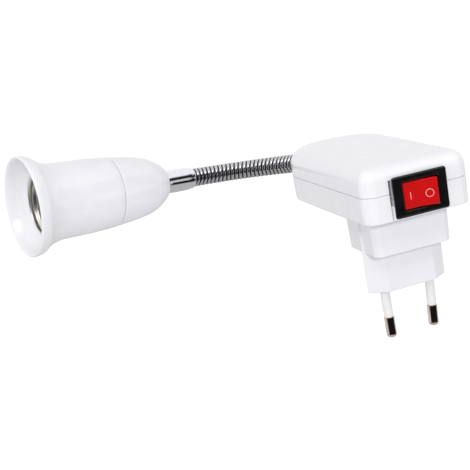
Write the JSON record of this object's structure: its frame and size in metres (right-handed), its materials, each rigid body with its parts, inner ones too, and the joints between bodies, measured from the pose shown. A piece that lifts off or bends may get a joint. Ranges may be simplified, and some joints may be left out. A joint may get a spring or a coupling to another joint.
{
  "type": "plug in lamp holder",
  "caption": "White wall plug housing with a red rocker switch, a short flexible metal neck and a flared screw-in lamp socket.",
  "frame": {"origin": "middle of the plug's engagement face, halfway between the two pins where they leave it", "axes": "+Z away from the wall outlet, so the pins point down; X along the line of the pins; -Y towards the switch; the neck leaves the housing towards +Y and the socket lies to -X"},
  "size_m": [0.1592, 0.1342, 0.0885],
  "materials": {
    "white_plastic": "white gloss moulding, very slightly cool",
    "sleeve_plastic": "white satin sleeve",
    "pin_metal": "nickel plated, slightly warm",
    "screw_steel": "zinc plated",
    "grey_plastic": "dark grey moulding",
    "black_plastic": "black gloss moulding",
    "red_plastic": "red gloss moulding",
    "mark_plastic": "pale printed marks",
    "natural_plastic": "off-white moulding",
    "contact_brass": "bare brass",
    "brown_insulation": "brown insulation",
    "blue_insulation": "blue insulation",
    "lead_insulation": "brown and blue insulation",
    "nut_steel": "zinc plated",
    "chrome_hose": "bright plated strip",
    "chrome_tube": "bright plated tube",
    "base_ceramic": "off-white unglazed",
    "shell_aluminium": "thin bright sheet"
  },
  "bodies": {
    "base": {"upper_shell": "white_plastic", "lower_shell": "white_plastic", "housing_screws": "screw_steel", "pin_left": "pin_metal", "pin_right": "pin_metal", "pin_sleeves": "sleeve_plastic", "pin_clamp": "grey_plastic", "pin_clamp_screws": "screw_steel", "switch_body": "black_plastic", "switch_terminals": "contact_brass", "lead_live_in": "brown_insulation", "lead_live_out": "brown_insulation", "lead_neutral": "blue_insulation", "neck_bushing": "nut_steel", "neck_locknut": "nut_steel", "hose_1": "chrome_hose", "hose_leads_1": "lead_insulation"},
    "rocker": {"switch_rocker": "red_plastic", "rocker_marks": "mark_plastic", "rocker_plunger": "natural_plastic", "rocker_spring": "screw_steel"},
    "contact_lever": {"contact_lever": "contact_brass"},
    "neck_2": {"hose_2": "chrome_hose", "hose_leads_2": "lead_insulation"},
    "neck_3": {"hose_3": "chrome_hose", "hose_leads_3": "lead_insulation"},
    "neck_4": {"hose_4": "chrome_hose", "hose_leads_4": "lead_insulation"},
    "neck_5": {"hose_5": "chrome_hose", "hose_leads_5": "lead_insulation"},
    "neck_6": {"hose_6": "chrome_hose", "hose_leads_6": "lead_insulation"},
    "neck_7": {"hose_7": "chrome_hose", "hose_leads_7": "lead_insulation"},
    "neck_8": {"hose_8": "chrome_hose", "hose_leads_8": "lead_insulation"},
    "holder": {"hose_9": "chrome_hose", "hose_leads_9": "lead_insulation", "ferrule": "chrome_tube", "ferrule_locknut": "nut_steel", "socket_cap": "white_plastic", "socket_skirt": "white_plastic", "socket_base": "base_ceramic", "screw_shell": "shell_aluminium", "shell_contact": "contact_brass", "centre_contact": "contact_brass", "terminal_screws": "screw_steel", "socket_leads": "lead_insulation"}
  },
  "joints": [
    {"name": "rocker", "type": "hinge", "parent": "base", "child": "rocker", "pos_m": [0, -0.0197, 0.039], "axis": [0, 0, 1], "range_deg": [0, 18]},
    {"name": "contact_lever", "type": "hinge", "parent": "base", "child": "contact_lever", "pos_m": [0, -0.0122, 0.039], "axis": [0, 0, 1], "range_deg": [-9, 0]},
    {"name": "neck_swing_1", "type": "hinge", "parent": "base", "child": "neck_2", "pos_m": [-0.00087, 0.07399, 0.0396], "axis": [0.068, 0.1147, 0.9911], "range_deg": [-16, 4]},
    {"name": "neck_tilt_1", "type": "hinge", "parent": "neck_2", "child": "neck_3", "pos_m": [-0.00343, 0.08194, 0.03886], "axis": [0.9127, 0.3941, -0.1082], "range_deg": [-11, 11]},
    {"name": "neck_swing_2", "type": "hinge", "parent": "neck_3", "child": "neck_4", "pos_m": [-0.00759, 0.0892, 0.0383], "axis": [0.068, 0.1147, 0.9911], "range_deg": [-16, 4]},
    {"name": "neck_tilt_2", "type": "hinge", "parent": "neck_4", "child": "neck_5", "pos_m": [-0.01315, 0.09546, 0.03796], "axis": [0.6722, 0.7288, -0.1305], "range_deg": [-11, 11]},
    {"name": "neck_swing_3", "type": "hinge", "parent": "neck_5", "child": "neck_6", "pos_m": [-0.01988, 0.10045, 0.03784], "axis": [0.068, 0.1147, 0.9911], "range_deg": [-16, 4]},
    {"name": "neck_tilt_3", "type": "hinge", "parent": "neck_6", "child": "neck_7", "pos_m": [-0.02749, 0.10397, 0.03796], "axis": [0.3171, 0.9394, -0.1305], "range_deg": [-11, 11]},
    {"name": "neck_swing_4", "type": "hinge", "parent": "neck_7", "child": "neck_8", "pos_m": [-0.03566, 0.10584, 0.0383], "axis": [0.068, 0.1147, 0.9911], "range_deg": [-16, 4]},
    {"name": "neck_tilt_4", "type": "hinge", "parent": "neck_8", "child": "holder", "pos_m": [-0.04402, 0.10601, 0.03886], "axis": [-0.092, 0.9899, -0.1082], "range_deg": [-11, 11]}
  ],
  "couplings": [
    {"joint": "contact_lever", "follows": "rocker", "ratio": -0.5},
    {"joint": "neck_swing_2", "follows": "neck_swing_1", "ratio": 1},
    {"joint": "neck_swing_3", "follows": "neck_swing_1", "ratio": 1},
    {"joint": "neck_swing_4", "follows": "neck_swing_1", "ratio": 1},
    {"joint": "neck_tilt_2", "follows": "neck_tilt_1", "ratio": 1},
    {"joint": "neck_tilt_3", "follows": "neck_tilt_1", "ratio": 1},
    {"joint": "neck_tilt_4", "follows": "neck_tilt_1", "ratio": 1}
  ]
}
